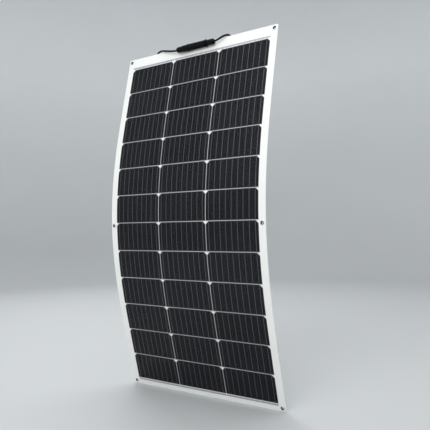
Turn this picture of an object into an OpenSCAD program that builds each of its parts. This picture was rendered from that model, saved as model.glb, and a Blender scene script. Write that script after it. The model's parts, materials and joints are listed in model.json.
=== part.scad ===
// Flexible solar sheet: a thin laminate of half-cut cells that bows along its length, with six
// eyelets, a flat junction box behind its top edge and a mated connector pair hung over the edge.
// +X across the sheet, +Z up, the cells face -Y. The origin is the bottom centre of the whole
// object's bounding box.

/* [Sheet] */
// Width of the sheet
sheet_w = 545; // [530:1:560]
// Bare margin above the first cell row
top_margin = 39.5; // [36:0.5:60]
// Bare margin below the last cell row
bottom_margin = 22.5; // [20:0.5:60]
// Radius of the four sheet corners
corner_r = 6; // [2:0.5:9]
// Tilt of the two straight end segments away from the middle, in degrees
end_tilt = 14; // [0:0.5:18]

/* [Cells] */
// Width of one half-cut cell
cell_w = 166; // [150:0.5:168]
// Height of one half-cut cell
cell_h = 83; // [75:0.5:83.5]
// Gap between neighbouring cells
cell_gap = 2; // [1.5:0.1:3]
// Corner chamfer on the two upper corners of each cell
cell_chamfer = 8.5; // [2:0.5:12]
// Busbar ribbons on each cell
ribbons_per_cell = 9; // [5:1:12]
// Width of a busbar ribbon
ribbon_w = 0.9; // [0.4:0.1:1.5]
// Width of the bus ribbons that join the columns
bus_w = 5; // [3:0.5:5.5]
// Distance from the cells to a bus ribbon
bus_offset = 2.5; // [1.5:0.5:3]

/* [Layers] */
// Whole thickness of the laminate
sheet_t = 2.5; // [2:0.1:3]
// Thickness of the clear front film
film_t = 0.3; // [0.2:0.05:0.4]
// Thickness of a busbar ribbon
ribbon_t = 0.1; // [0.08:0.01:0.15]
// Thickness of a cell, and of a bus ribbon
cell_t = 0.2; // [0.15:0.01:0.25]
// Gap between the segments at a hinge line
hinge_gap = 0.5; // [0.4:0.05:0.8]

/* [Eyelets] */
// Radius of the hole through an eyelet
eyelet_r = 3.25; // [2.5:0.05:3.5]
// Depth of the funnel that leads into an eyelet's hole
eyelet_throat = 1.25; // [0.4:0.05:1.5]
// Radius of an eyelet's front flange
eyelet_flange_r = 7; // [6:0.1:7.5]
// Thickness of an eyelet's flange
eyelet_flange_t = 0.8; // [0.5:0.1:1.2]
// Distance from an eyelet's axis to the sheet's edges
eyelet_inset = 10.5; // [9:0.5:12]
// Distance of the middle eyelets below the middle hinge line
eyelet_drop = 8; // [7.8:0.1:12]

/* [Junction box] */
// Length of the box along the sheet's width
box_w = 112; // [100:1:120]
// Height of the box
box_h = 58; // [50:1:62]
// Depth of the box without its lid
box_d = 12; // [11:0.5:14]
// Wall of the box
box_wall = 2; // [1.5:0.1:2.5]
// Thickness of the lid
lid_t = 2; // [1.5:0.1:3]
// Distance from the sheet's top edge to the box's centre
box_drop = 43.5; // [40:0.5:46]

/* [Leads] */
// Radius of a lead
lead_r = 2.75; // [2:0.05:2.8]
// Distance to the right of the sheet's middle at which the connector's two halves meet
connector_x = 0; // [-12:1:2]
// Distance from the sheet's top edge down to the connector axis
plug_drop = 13; // [12:0.5:16]
// Distance of the connector axis in front of the sheet's mid-plane
plug_front = 12.6; // [12.6:0.1:16]
// Radius of the connector housings
housing_r = 9.8; // [9:0.1:10]
// Radius of the gland nuts
nut_r = 8.2; // [7.5:0.1:8.5]

/* [Hidden] */
$fn = 48;
rows = 12;
columns = 3;
last = 9;
middle = 5;
row_pitch = cell_h + cell_gap;
column_pitch = cell_w + cell_gap;
top_s = rows / 2 * row_pitch - cell_gap / 2 + top_margin;
bottom_s = -(rows / 2 * row_pitch - cell_gap / 2 + bottom_margin);
bow_reach = (rows / 2 - 1.5) * row_pitch;
front_y = -sheet_t / 2;
back_y = sheet_t / 2;
core_y = front_y + film_t;
cell_y = core_y + ribbon_t;
pocket_y = cell_y + cell_t;
pocket_clearance = 0.2;
overshoot = 1;
eyelet_wall = 1;
seat_clearance = 0.05;

// Segments run from 0 at the top to 9 at the bottom, and the lines between them are the hinges.
// Segments 0 and 9 hold two cell rows and a margin, and the others hold one row each.
SEGMENTS = ["rows_1_2", "row_3", "row_4", "row_5", "row_6",
            "row_7", "row_8", "row_9", "row_10", "rows_11_12"];
function line_s(j) =
    j == 0 ? top_s : j == last + 1 ? bottom_s : (rows / 2 - j - 1) * row_pitch;
function seg_len(i) = line_s(i) - line_s(i + 1);

// The bow's slope rises as a sine from the middle to bow_reach and is constant beyond it, and
// slope_sum is its integral. A segment takes the mean slope of its stretch.
function slope_sum(s) =
    let (c = 2 / PI * bow_reach)
    abs(s) < bow_reach ? end_tilt * c * (1 - cos(90 * s / bow_reach))
    : end_tilt * (c + abs(s) - bow_reach);
function tilt(i) = (slope_sum(line_s(i)) - slope_sum(line_s(i + 1))) / seg_len(i);
function line_y(j) =
    j == middle ? 0
    : j < middle ? line_y(j + 1) + seg_len(j) * sin(tilt(j))
    : line_y(j - 1) - seg_len(j - 1) * sin(tilt(j - 1));
function line_z(j) =
    j == middle ? 0
    : j < middle ? line_z(j + 1) + seg_len(j) * cos(tilt(j))
    : line_z(j - 1) - seg_len(j - 1) * cos(tilt(j - 1));

function low_edge(i) = i == last ? 0 : hinge_gap / 2;
function high_edge(i) = i == 0 ? seg_len(0) : seg_len(i) - hinge_gap / 2;
function rows_in(i) = i == 0 || i == last ? 2 : 1;
function row_z(i, r) = r * row_pitch + (i == last ? bottom_margin : cell_gap / 2);
function column_x(c) = (c - (columns - 1) / 2) * column_pitch;
top_cells_z = row_z(0, 1) + cell_h;
bottom_cells_z = row_z(last, 0);
cells_half_w = column_x(columns - 1) + cell_w / 2;
eyelet_x = sheet_w / 2 - eyelet_inset;
function has_eyelets(i) = i == 0 || i == middle || i == last;
function eyelet_z(i) =
    i == 0 ? seg_len(0) - eyelet_inset : i == middle ? seg_len(i) - eyelet_drop : eyelet_inset;

// Box and lead places in the top segment's frame
box_z = seg_len(0) - box_drop;
lead_y = back_y + box_d / 2 + 0.5;
plug_z = seg_len(0) - plug_drop;

// Connector places along its own axis, and where that axis starts across the sheet
nut_end_left = -79;
socket_stub = -70;
socket_shoulder = -57;
cavity_end = -38;
mating_face = -12;
flange_x = 28;
plug_shoulder = 31;
plug_stub = 45;
nut_end_right = 58;
plug_x = connector_x - mating_face;
cavity_r = 6.1;
nose_r = 6;
stub_r = 6.2;
seal_r = 4.6;
groove_r = 4.9;
bore_r = lead_r + 0.1;
pin_r = 2;

// ---- Frames and small helpers -------------------------------------------------------------

// Y and Z of a point (y, z) of segment i's own frame, before the origin is moved
function chain_y(i, y, z) = line_y(i + 1) + y * cos(tilt(i)) + z * sin(tilt(i));
function chain_z(i, y, z) = line_z(i + 1) - y * sin(tilt(i)) + z * cos(tilt(i));

// The middle eyelets' flanges reach furthest forward, the lid's upper edge furthest back, and
// the front of the bottom edge furthest down.
front_most = chain_y(middle, front_y - eyelet_flange_t, eyelet_z(middle) + eyelet_flange_r);
back_most = chain_y(0, back_y + box_d + lid_t, box_z + box_h / 2);
down_most = chain_z(last, front_y, 0);
origin = [0, (front_most + back_most) / 2, down_most];

// Puts children into segment i's own frame: Z runs up the sheet from its lower line, Y points
// out of the back.
module on_segment(i) {
    translate([0, line_y(i + 1), line_z(i + 1)] - origin) rotate([-tilt(i), 0, 0]) children();
}

// Extrudes an (x, z) outline from y to y + t.
module slab(y, t) {
    translate([0, y + t, 0]) rotate([90, 0, 0]) linear_extrude(t) children();
}

// Turns a shape made about Z into one about X, on the connector axis.
module on_plug_axis() {
    on_segment(0) translate([plug_x, -plug_front, plug_z]) rotate([0, 90, 0]) children();
}

// A round body of radius r from x0 to x1, about the connector axis.
module stage(r, x0, x1) {
    translate([0, 0, x0]) cylinder(r = r, h = x1 - x0);
}

// A round body with both rims bevelled.
module bevelled(r, x0, x1, bevel) {
    rotate_extrude()
        polygon([[0, x0], [r - bevel, x0], [r, x0 + bevel],
                 [r, x1 - bevel], [r - bevel, x1], [0, x1]]);
}

module rounded_rect(w, h, r) {
    square([w - 2 * r, h], center = true);
    square([w, h - 2 * r], center = true);
    for (sx = [-1, 1], sz = [-1, 1])
        translate([sx * (w / 2 - r), sz * (h / 2 - r)]) circle(r);
}

// ---- Laminate -----------------------------------------------------------------------------

module corner_cut() {
    difference() {
        square(corner_r + overshoot);
        circle(corner_r);
    }
}

module segment_outline(i) {
    difference() {
        translate([-sheet_w / 2, low_edge(i)]) square([sheet_w, high_edge(i) - low_edge(i)]);
        if (i == 0)
            for (m = [0, 1]) mirror([m, 0])
                translate([sheet_w / 2 - corner_r, high_edge(0) - corner_r]) corner_cut();
        if (i == last)
            for (m = [0, 1]) mirror([m, 0])
                translate([sheet_w / 2 - corner_r, corner_r]) mirror([0, 1]) corner_cut();
        if (has_eyelets(i))
            for (sx = [-1, 1])
                translate([sx * eyelet_x, eyelet_z(i)])
                    circle(eyelet_r + eyelet_wall + seat_clearance);
    }
}

// Column pockets run right through the hinge lines, and the end segments add a slot for the
// bus ribbons across the whole cell field.
module pocket_outline(i) {
    low = i == last ? bottom_cells_z - pocket_clearance : -overshoot;
    high = i == 0 ? top_cells_z + pocket_clearance : seg_len(i) + overshoot;
    for (c = [0 : columns - 1])
        translate([column_x(c) - cell_w / 2 - pocket_clearance, low])
            square([cell_w + 2 * pocket_clearance, high - low]);
    slot_w = 2 * (cells_half_w + pocket_clearance);
    slot_h = bus_offset + bus_w + 2 * pocket_clearance;
    if (i == 0)
        translate([-slot_w / 2, top_cells_z]) square([slot_w, slot_h]);
    if (i == last)
        translate([-slot_w / 2, bottom_cells_z - slot_h]) square([slot_w, slot_h]);
}

module film(i) {
    color("white", 0.35) on_segment(i) slab(front_y, film_t) segment_outline(i);
}

module backsheet(i) {
    color("whitesmoke") on_segment(i) difference() {
        slab(core_y, back_y - core_y) segment_outline(i);
        slab(core_y - overshoot, pocket_y - core_y + overshoot) pocket_outline(i);
    }
}

module cell_outline() {
    polygon([[-cell_w / 2, 0], [cell_w / 2, 0],
             [cell_w / 2, cell_h - cell_chamfer], [cell_w / 2 - cell_chamfer, cell_h],
             [-cell_w / 2 + cell_chamfer, cell_h], [-cell_w / 2, cell_h - cell_chamfer]]);
}

module cells(i) {
    color([0.1, 0.1, 0.14]) on_segment(i) slab(cell_y, cell_t)
        for (c = [0 : columns - 1], r = [0 : rows_in(i) - 1])
            translate([column_x(c), row_z(i, r)]) cell_outline();
}

module ribbons(i) {
    low = i == last ? bottom_cells_z - bus_offset - bus_w : low_edge(i);
    high = i == 0 ? top_cells_z + bus_offset + bus_w : high_edge(i);
    pitch = cell_w / ribbons_per_cell;
    color("silver") on_segment(i) slab(core_y, ribbon_t)
        for (c = [0 : columns - 1], n = [0 : ribbons_per_cell - 1])
            translate([column_x(c) + (n + 0.5) * pitch - cell_w / 2 - ribbon_w / 2, low])
                square([ribbon_w, high - low]);
}

// One short and one long bus ribbon, with the short one over the column on the side given.
module bus_ribbons(z, side) {
    long_w = 2 * cell_w + cell_gap;
    slab(cell_y, cell_t) {
        translate([side * column_pitch - cell_w / 2, z]) square([cell_w, bus_w]);
        translate([-side * column_pitch / 2 - long_w / 2, z]) square([long_w, bus_w]);
    }
}

module bus_ribbons_top() {
    color("silver") on_segment(0) bus_ribbons(top_cells_z + bus_offset, -1);
}

module bus_ribbons_bottom() {
    color("silver") on_segment(last) bus_ribbons(bottom_cells_z - bus_offset - bus_w, 1);
}

// ---- Eyelets ------------------------------------------------------------------------------

module eyelet() {
    bevel = eyelet_flange_t * 0.6;
    throat = eyelet_throat;
    barrel_r = eyelet_r + eyelet_wall;
    front = front_y - eyelet_flange_t;
    back = back_y + eyelet_flange_t;
    rotate([-90, 0, 0]) rotate_extrude()
        polygon([[eyelet_r, front + throat], [eyelet_r + throat, front],
                 [eyelet_flange_r - bevel, front], [eyelet_flange_r, front_y],
                 [barrel_r, front_y], [barrel_r, back_y], [eyelet_flange_r, back_y],
                 [eyelet_flange_r - bevel, back], [eyelet_r + bevel / 2, back],
                 [eyelet_r, back - bevel / 2]]);
}

module eyelets(i) {
    color("silver") on_segment(i)
        for (sx = [-1, 1]) translate([sx * eyelet_x, 0, eyelet_z(i)]) eyelet();
}

// ---- Junction box -------------------------------------------------------------------------

box_corner_r = 5;
box_floor = 1.6;
boss_r = 4.6;
boss_len = 9;
lip_t = 1.4;
lip_depth = 2;
lip_gap = 0.15;
terminal_x = 36;
terminal_size = [16, 1, 24];
diode_r = 2.7;
diode_len = 9;
diode_z = 10;
post_size = [4, 2.4, 3];

module in_box() {
    on_segment(0) translate([0, back_y, box_z]) children();
}

module junction_box_base() {
    color([0.09, 0.09, 0.1]) in_box() difference() {
        union() {
            slab(0, box_d) rounded_rect(box_w, box_h, box_corner_r);
            translate([0, lead_y - back_y, 0]) rotate([0, 90, 0])
                cylinder(r = boss_r, h = box_w + 2 * boss_len, center = true);
        }
        slab(box_floor, box_d) rounded_rect(box_w - 2 * box_wall, box_h - 2 * box_wall,
                                            box_corner_r - box_wall);
        translate([0, lead_y - back_y, 0]) rotate([0, 90, 0])
            cylinder(r = bore_r, h = box_w + 4 * boss_len, center = true);
    }
}

module junction_box_lid() {
    inner_w = box_w - 2 * box_wall - 2 * lip_gap;
    inner_h = box_h - 2 * box_wall - 2 * lip_gap;
    inner_r = box_corner_r - box_wall - lip_gap;
    color([0.09, 0.09, 0.1]) in_box() {
        slab(box_d, lid_t) rounded_rect(box_w, box_h, box_corner_r);
        slab(box_d - lip_depth, lip_depth) difference() {
            rounded_rect(inner_w, inner_h, inner_r);
            rounded_rect(inner_w - 2 * lip_t, inner_h - 2 * lip_t, inner_r - lip_t);
        }
    }
}

module junction_terminals() {
    color("goldenrod") in_box() for (x = [-terminal_x, 0, terminal_x]) {
        translate([x - terminal_size[0] / 2, box_floor, -terminal_size[2] / 2])
            cube(terminal_size);
        translate([x - post_size[0] / 2, box_floor + terminal_size[1], diode_z - post_size[2] / 2])
            cube(post_size);
    }
}

// Two diodes, each bridging two neighbouring terminals, with their leads lying on the posts.
module bypass_diodes() {
    lead_wire_r = 0.5;
    axis_y = box_floor + terminal_size[1] + post_size[1] + lead_wire_r;
    color([0.15, 0.15, 0.15]) in_box() for (sx = [-1, 1])
        translate([sx * terminal_x / 2, axis_y, diode_z]) rotate([0, 90, 0]) {
            cylinder(r = diode_r, h = diode_len, center = true);
            cylinder(r = lead_wire_r, h = terminal_x, center = true);
        }
}

// ---- Leads --------------------------------------------------------------------------------

// Smooth curve through the points p, as a list of points, n to each span.
function spline_point(a, b, c, d, t) =
    b + 0.5 * t * ((c - a) + t * (2 * a - 5 * b + 4 * c - d + t * (3 * (b - c) + d - a)));
function spline(p, n) = let (m = len(p) - 1)
    [for (i = [0 : m - 1], k = [0 : n - 1])
        spline_point(i == 0 ? 2 * p[0] - p[1] : p[i - 1], p[i], p[i + 1],
                     i == m - 1 ? 2 * p[m] - p[m - 1] : p[i + 2], k / n),
     p[m]];
function unit(v) = v / norm(v);
function tangent(p, i) = unit(p[min(i + 1, len(p) - 1)] - p[max(i - 1, 0)]);
function square_to(v, t) = unit(v - (v * t) * t);

// Normals carried along the curve without twist
function normals(p, i, v, found) =
    i == len(p) ? found
    : let (w = square_to(v, tangent(p, i))) normals(p, i + 1, w, concat(found, [w]));

module swept_tube(p, r, sides) {
    v = normals(p, 0, [0, 0, 1], []);
    points = [for (i = [0 : len(p) - 1], k = [0 : sides - 1])
        let (u = cross(tangent(p, i), v[i]), a = 360 * k / sides)
            p[i] + r * (cos(a) * v[i] + sin(a) * u)];
    end = (len(p) - 1) * sides;
    faces = concat(
        [[for (k = [0 : sides - 1]) k]],
        [for (i = [0 : len(p) - 2], k = [0 : sides - 1])
            [i * sides + k, (i + 1) * sides + k,
             (i + 1) * sides + (k + 1) % sides, i * sides + (k + 1) % sides]],
        [[for (k = [sides - 1 : -1 : 0]) end + k]]);
    polyhedron(points, faces, convexity = 10);
}

lead_steps = 4;
lead_sides = 12;
boss_exit = box_w / 2 + boss_len;

// Each route is [x, y, height over the sheet's top edge], from inside the box, out through its
// boss, up behind the sheet, over the edge and down to the connector axis.
left_route = [
    [-46, lead_y, -box_drop], [-boss_exit - 3, lead_y, -box_drop],
    [-boss_exit - 10, lead_y, -box_drop], [-110, 8.5, -40], [-145, 9.5, -27], [-162, 8.5, -9],
    [-161, 4.5, 2.6], [-151, 0, 6.2], [-136, -4.5, 4.6], [-115, -9, -2.4], [-93, -11.8, -9.4],
    [plug_x - 88, -plug_front, -plug_drop], [plug_x - 82, -plug_front, -plug_drop],
    [plug_x - 50, -plug_front, -plug_drop]];
right_route = [
    [46, lead_y, -box_drop], [boss_exit + 3, lead_y, -box_drop],
    [boss_exit + 10, lead_y, -box_drop], [99, 9, -37], [115, 9.5, -20], [117, 7, -4],
    [111, 2.2, 4.4], [103.5, -2.6, 4.6], [94.5, -8, -1], [86, -11.2, -7.6], [78.5, -12.5, -11.8],
    [plug_x + 60, -plug_front, -plug_drop], [plug_x + 54, -plug_front, -plug_drop],
    [plug_x + 22, -plug_front, -plug_drop]];

module lead(route) {
    color([0.06, 0.06, 0.06]) on_segment(0) translate([0, 0, seg_len(0)])
        swept_tube(spline(route, lead_steps), lead_r, lead_sides);
}

// ---- Connector pair -----------------------------------------------------------------------

arm_w = 9;
arm_t = 2;
arm_floor = 7.2;
arm_tip = -40;
arm_clearance = 0.2;
nut_wall = 1.7;
nut_ribs = 16;
rib_r = 0.7;
shell_colour = [0.07, 0.07, 0.08];

// Four ribs along the housing, away from the latch arms.
module housing_ribs(x0, x1) {
    for (a = [60, 120, 240, 300]) rotate([0, 0, a])
        translate([housing_r - rib_r / 2, 0, x0]) cylinder(r = rib_r, h = x1 - x0);
}

module socket_housing() {
    color(shell_colour) on_plug_axis() difference() {
        union() {
            stage(stub_r, socket_stub, socket_shoulder + overshoot);
            bevelled(housing_r, socket_shoulder + 0.5, mating_face, 1);
            housing_ribs(socket_shoulder + 3, mating_face - 3);
        }
        stage(cavity_r, cavity_end, mating_face + overshoot);
        stage(pin_r + 0.45, cavity_end - 12, cavity_end + overshoot);
        stage(bore_r, socket_stub - overshoot, cavity_end - 11);
        stage(seal_r, socket_stub - overshoot, socket_shoulder);
        for (side = [0, 180]) rotate([0, 0, side])
            translate([arm_floor - arm_clearance, -arm_w / 2 - arm_clearance,
                       arm_tip - 2])
                cube([housing_r, arm_w + 2 * arm_clearance, mating_face - arm_tip + 4]);
    }
}

module socket_pin() {
    color("goldenrod") on_plug_axis() {
        stage(pin_r + 0.4, cavity_end - 10.8, cavity_end);
        stage(pin_r, cavity_end - overshoot, mating_face - 4);
    }
}

module plug_housing() {
    color(shell_colour) on_plug_axis() difference() {
        union() {
            stage(nose_r, cavity_end + 0.5, mating_face + overshoot);
            bevelled(housing_r, mating_face + 0.5, plug_shoulder - 0.5, 1);
            bevelled(housing_r + 1.2, flange_x, plug_shoulder, 0.8);
            stage(stub_r, plug_shoulder - overshoot, plug_stub);
            housing_ribs(mating_face + 3, flange_x);
            for (side = [0, 180]) rotate([0, 0, side]) {
                translate([arm_floor, -arm_w / 2, arm_tip])
                    cube([arm_t, arm_w, mating_face - arm_tip + 2]);
                translate([arm_floor + arm_t - 0.5, -arm_w / 2, arm_tip])
                    cube([1.3, arm_w, 6]);
            }
        }
        stage(3.25, cavity_end, -5);
        stage(bore_r, -6, plug_stub + overshoot);
        stage(seal_r, plug_shoulder + 2, plug_stub + overshoot);
        rotate_extrude() translate([groove_r, mating_face - 3]) square([cavity_r - groove_r, 1.4]);
    }
}

module plug_contact() {
    color("goldenrod") on_plug_axis() difference() {
        union() {
            stage(3.2, cavity_end + 1, -5.5);
            stage(bore_r - 0.1, -6, 21);
        }
        stage(pin_r + 0.05, cavity_end, -10);
    }
}

module plug_o_ring() {
    color("dimgray") on_plug_axis() translate([0, 0, mating_face - 2.3])
        rotate_extrude() translate([5.5, 0]) circle(0.55, $fn = 24);
}

module seal(x0, x1) {
    color("dimgray") on_plug_axis() difference() {
        bevelled(seal_r - seat_clearance, x0, x1, 0.4);
        stage(lead_r + seat_clearance, x0 - overshoot, x1 + overshoot);
    }
}

// Gland nut from its closed end, at x = 0, to its open end at x = depth.
module nut(depth) {
    end_wall = 3;
    rotate_extrude() {
        polygon([[bore_r + 0.1, 0], [nut_r - 3, 0], [nut_r - 0.9, 1.6], [nut_r, 5],
                 [nut_r, depth - 1], [nut_r - 0.6, depth], [nut_r - nut_wall, depth],
                 [nut_r - nut_wall, end_wall + 5.2], [bore_r + 0.1, end_wall + 5.2]]);
    }
    for (k = [0 : nut_ribs - 1]) rotate([0, 0, 360 * k / nut_ribs])
        translate([nut_r - rib_r / 2, 0, 5]) cylinder(r = rib_r, h = depth - 6.5);
}

module socket_nut() {
    color(shell_colour) on_plug_axis() translate([0, 0, nut_end_left])
        nut(socket_shoulder - nut_end_left - 0.2);
}

module plug_nut() {
    color(shell_colour) on_plug_axis() translate([0, 0, nut_end_right]) mirror([0, 0, 1])
        nut(nut_end_right - plug_shoulder - 0.3);
}

// ---- One line to each node ----------------------------------------------------------------

for (i = [0 : last]) {
    film(i);
    cells(i);
    ribbons(i);
    backsheet(i);
}
bus_ribbons_top();
bus_ribbons_bottom();
eyelets(0);  // eyelets_top
eyelets(middle);  // eyelets_middle
eyelets(last);  // eyelets_bottom
junction_box_base();
junction_box_lid();
bypass_diodes();
junction_terminals();
lead(left_route);  // left_lead
lead(right_route);  // right_lead
socket_housing();
socket_pin();
seal(socket_stub + 0.2, socket_shoulder - 0.2);  // socket_seal
socket_nut();
plug_housing();
plug_contact();
seal(plug_shoulder + 2.2, plug_stub - 0.2);  // plug_seal
plug_o_ring();
plug_nut();
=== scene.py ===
"""Looks of a flexible solar sheet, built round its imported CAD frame.

Every length is in metres unless a name or a helper says millimetres. The laminate is built flat,
in sheet coordinates (x across, s up along the sheet from its middle gap, depth behind the
mid-plane), and is then laid on the bow.
"""

import json
import math

import bmesh
import bpy
import numpy as np
from mathutils import Matrix, Vector


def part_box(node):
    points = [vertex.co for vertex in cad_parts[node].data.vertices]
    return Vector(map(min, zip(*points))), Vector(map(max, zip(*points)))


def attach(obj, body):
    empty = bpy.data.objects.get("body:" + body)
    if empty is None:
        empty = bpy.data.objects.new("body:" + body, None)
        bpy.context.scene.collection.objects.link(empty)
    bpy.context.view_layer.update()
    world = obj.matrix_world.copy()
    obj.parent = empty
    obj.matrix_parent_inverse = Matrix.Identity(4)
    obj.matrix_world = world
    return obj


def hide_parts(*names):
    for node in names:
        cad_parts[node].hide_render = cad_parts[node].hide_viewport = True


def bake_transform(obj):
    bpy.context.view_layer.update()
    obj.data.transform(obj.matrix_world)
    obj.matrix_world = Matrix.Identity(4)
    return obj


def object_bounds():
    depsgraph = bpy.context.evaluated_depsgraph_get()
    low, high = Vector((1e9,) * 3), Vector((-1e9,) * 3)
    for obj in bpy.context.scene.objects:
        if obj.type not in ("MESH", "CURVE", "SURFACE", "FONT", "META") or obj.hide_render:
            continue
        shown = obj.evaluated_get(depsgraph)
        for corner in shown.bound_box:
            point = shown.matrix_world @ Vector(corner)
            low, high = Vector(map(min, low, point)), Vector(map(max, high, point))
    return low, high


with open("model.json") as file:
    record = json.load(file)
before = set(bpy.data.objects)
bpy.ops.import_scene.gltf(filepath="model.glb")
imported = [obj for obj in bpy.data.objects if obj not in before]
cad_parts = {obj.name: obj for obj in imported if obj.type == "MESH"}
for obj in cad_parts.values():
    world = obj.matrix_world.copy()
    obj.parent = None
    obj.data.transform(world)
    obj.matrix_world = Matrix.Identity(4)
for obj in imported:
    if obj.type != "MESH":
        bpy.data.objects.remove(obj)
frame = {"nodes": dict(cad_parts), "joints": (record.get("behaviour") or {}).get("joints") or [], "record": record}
CAD_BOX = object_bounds()

MM = 0.001
JOINTS = {joint["name"]: joint for joint in frame["joints"]}
MOUNTS = {mount["name"]: mount for mount in frame["record"]["mounts"]}

# ---- The sheet, from the frame -------------------------------------------------------------

ROWS = 12
COLUMNS = 3
SEGMENTS = ["rows_1_2"] + [f"row_{row}" for row in range(3, 11)] + ["rows_11_12"]


def hinge(gap):
    """The point of the hinge line in the gap below cell row `gap`."""
    return Vector(JOINTS[f"bow_gap_{gap}"]["pos_m"])


MIDDLE = hinge(6)
ROW_PITCH = (hinge(6) - hinge(7)).length
BOW_REACH = 4.5 * ROW_PITCH
LID_AXIS = JOINTS["lid_lift"]["axis"]
END_SLOPE = math.atan2(-LID_AXIS[2], LID_AXIS[1])

HALF_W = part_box("backsheet_row_7")[1].x
FIELD_HALF_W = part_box("cells_row_7")[1].x
CELL_GAP = 2 * MM
CELL_W = (2 * FIELD_HALF_W - (COLUMNS - 1) * CELL_GAP) / COLUMNS
CELL_H = ROW_PITCH - CELL_GAP
COLUMN_PITCH = CELL_W + CELL_GAP
CELL_CHAMFER = 8.5 * MM
CORNER_R = 6 * MM

EYELET_X = MOUNTS["eyelet_top_right"]["pos_m"][0]
EYELET_INSET = HALF_W - EYELET_X


def along_sheet(gap, mount):
    """Distance along the sheet from a hinge line to a mount in a straight end segment."""
    offset = Vector(MOUNTS[mount]["pos_m"]) - hinge(gap)
    return math.hypot(offset.y, offset.z)


TOP_EYELET_S = 4 * ROW_PITCH + along_sheet(2, "eyelet_top_right")
MIDDLE_EYELET_S = -along_sheet(6, "eyelet_middle_right")
BOTTOM_EYELET_S = -4 * ROW_PITCH - along_sheet(10, "eyelet_bottom_right")
TOP_S = TOP_EYELET_S + EYELET_INSET
BOTTOM_S = BOTTOM_EYELET_S - EYELET_INSET
EYELET_S = {"top": TOP_EYELET_S, "middle": MIDDLE_EYELET_S, "bottom": BOTTOM_EYELET_S}

# Depths of the layers behind the sheet's mid-plane
SHEET_T = 2.5 * MM
FRONT = -SHEET_T / 2
BACK = SHEET_T / 2
FILM_BACK = -0.97 * MM
CORE_FRONT = -0.95 * MM
SOLDER_TOP = -0.96 * MM
RIBBON_FRONT = -0.945 * MM
CELL_FRONT = -0.85 * MM
CELL_BACK = -0.65 * MM
POCKET_FLOOR = -0.63 * MM
POCKET_CLEARANCE = 0.2 * MM
POCKET_STEP = 0.05 * MM

RIBBONS_PER_CELL = 9
RIBBON_W = 0.9 * MM
BUS_W = 5 * MM
BUS_OFFSET = 2.5 * MM
HOLE_R = 4.3 * MM

# The bow: its slope rises as a sine from the middle to BOW_REACH and is constant beyond it.
BOW_STEP = 1 * MM
BOW_SAMPLES = 600
BOW_S = np.arange(-BOW_SAMPLES, BOW_SAMPLES + 1) * BOW_STEP
BOW_SLOPE = END_SLOPE * np.sin(np.clip(BOW_S / BOW_REACH, -1, 1) * math.pi / 2)


def running_sum(rate):
    """The integral of a rate sampled at BOW_S, zero in the middle of the sheet."""
    steps = (rate[1:] + rate[:-1]) / 2 * BOW_STEP
    total = np.concatenate([[0], np.cumsum(steps)])
    return total - total[len(total) // 2]


BOW_Y = MIDDLE.y + running_sum(np.sin(BOW_SLOPE))
BOW_Z = MIDDLE.z + running_sum(np.cos(BOW_SLOPE))


def ripple(x, s):
    """A slow unevenness of a flexible laminate, a tenth of a millimetre or so, as depth."""
    low = np.sin(31 * x + 17 * s + 0.6) * np.sin(23 * s - 9 * x + 1.9)
    high = np.sin(74 * s + 3.0 + 2.0 * np.sin(21 * x)) * np.cos(48 * x + 0.4)
    calm = np.clip((FIELD_HALF_W - np.abs(x)) / (30 * MM), 0, 1)
    return (0.11 * low + 0.035 * high) * MM * calm


def on_sheet(flat):
    """Row-frame points for an array of (x, s, depth)."""
    x, s, depth = flat[:, 0], flat[:, 1], flat[:, 2] + ripple(flat[:, 0], flat[:, 1])
    slope = np.interp(s, BOW_S, BOW_SLOPE)
    y = np.interp(s, BOW_S, BOW_Y) + depth * np.cos(slope)
    z = np.interp(s, BOW_S, BOW_Z) - depth * np.sin(slope)
    return np.stack([x, y, z], axis=1)


def point(x, s, depth=0.0):
    """One row-frame point on the smooth bow, without the ripple."""
    slope = float(np.interp(s, BOW_S, BOW_SLOPE))
    y = float(np.interp(s, BOW_S, BOW_Y)) + depth * math.cos(slope)
    z = float(np.interp(s, BOW_S, BOW_Z)) - depth * math.sin(slope)
    return Vector((x, y, z))


def local_frame(x, s, depth=0.0):
    """Matrix whose X runs across the sheet, Y out of its back and Z up along it."""
    slope = float(np.interp(s, BOW_S, BOW_SLOPE))
    return Matrix.Translation(point(x, s, depth)) @ Matrix.Rotation(-slope, 4, "X")


# ---- Material helpers ----------------------------------------------------------------------

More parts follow.
